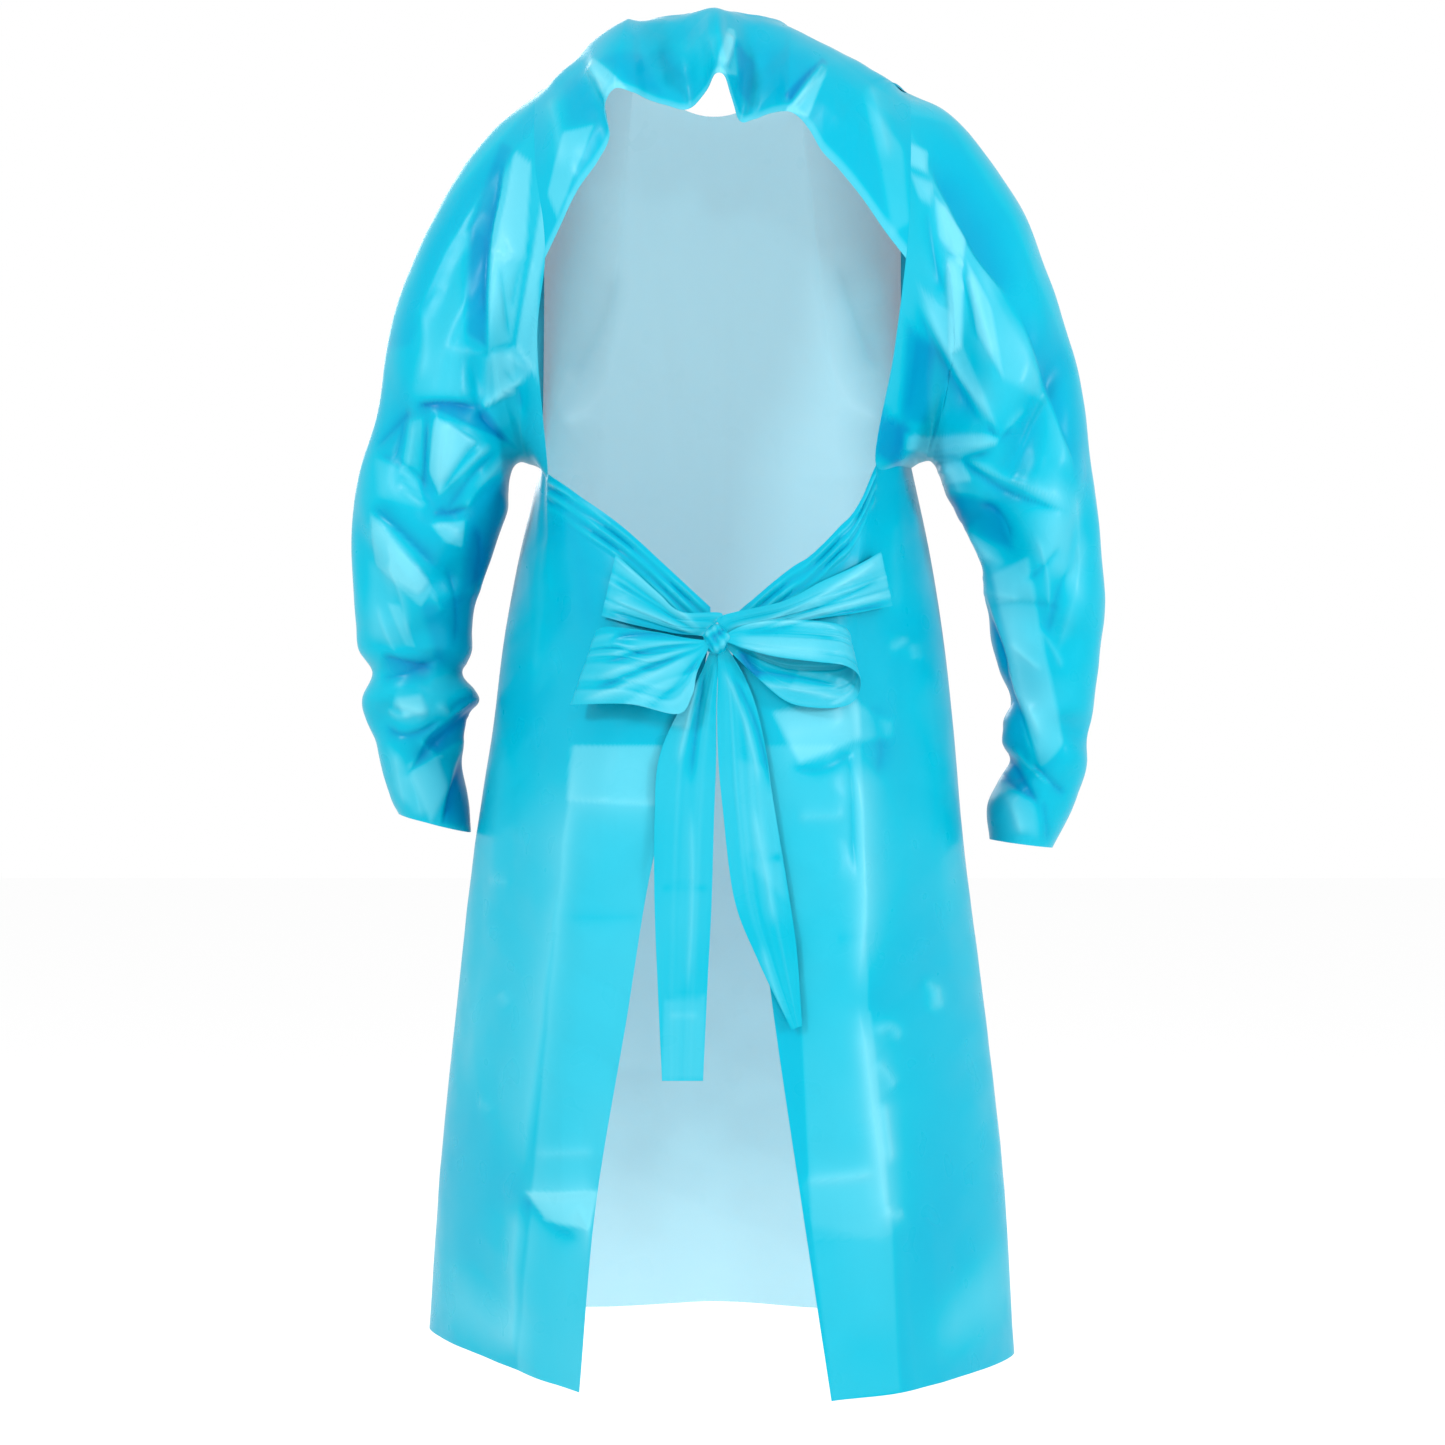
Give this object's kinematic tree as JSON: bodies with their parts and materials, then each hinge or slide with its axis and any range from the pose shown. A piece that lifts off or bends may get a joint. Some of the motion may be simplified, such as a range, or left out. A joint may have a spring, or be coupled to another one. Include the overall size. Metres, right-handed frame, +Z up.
{
  "type": "procedure gown",
  "caption": "Plastic film procedure gown held in its worn form: open back, neck yoke, long loose sleeves with open cuffs, flared skirt and waist ties in a bow at the back.",
  "frame": {"origin": "middle of the neck opening, where the wearer's neck and shoulders hold the gown", "axes": "+Z up along the gown's length, -Y out of its front, +Y out of its open back, +X to its own left sleeve"},
  "size_m": [0.6627, 0.4098, 1.1685],
  "materials": {
    "film": "soft gloss, thin see-through-edged film",
    "tie_film": "soft gloss, gathered film"
  },
  "bodies": {
    "root": {"front_panel_chest": "film", "front_panel_skirt": "film", "back_panel_left": "film", "back_panel_right": "film", "back_yoke": "film", "sleeve_left_upper": "film", "sleeve_left_lower": "film", "sleeve_right_upper": "film", "sleeve_right_lower": "film", "waist_tie_left": "tie_film", "waist_tie_right": "tie_film", "bow_loop_left": "tie_film", "bow_loop_right": "tie_film", "tie_knot": "tie_film", "tie_tail_left": "tie_film", "tie_tail_right": "tie_film"}
  },
  "joints": []
}
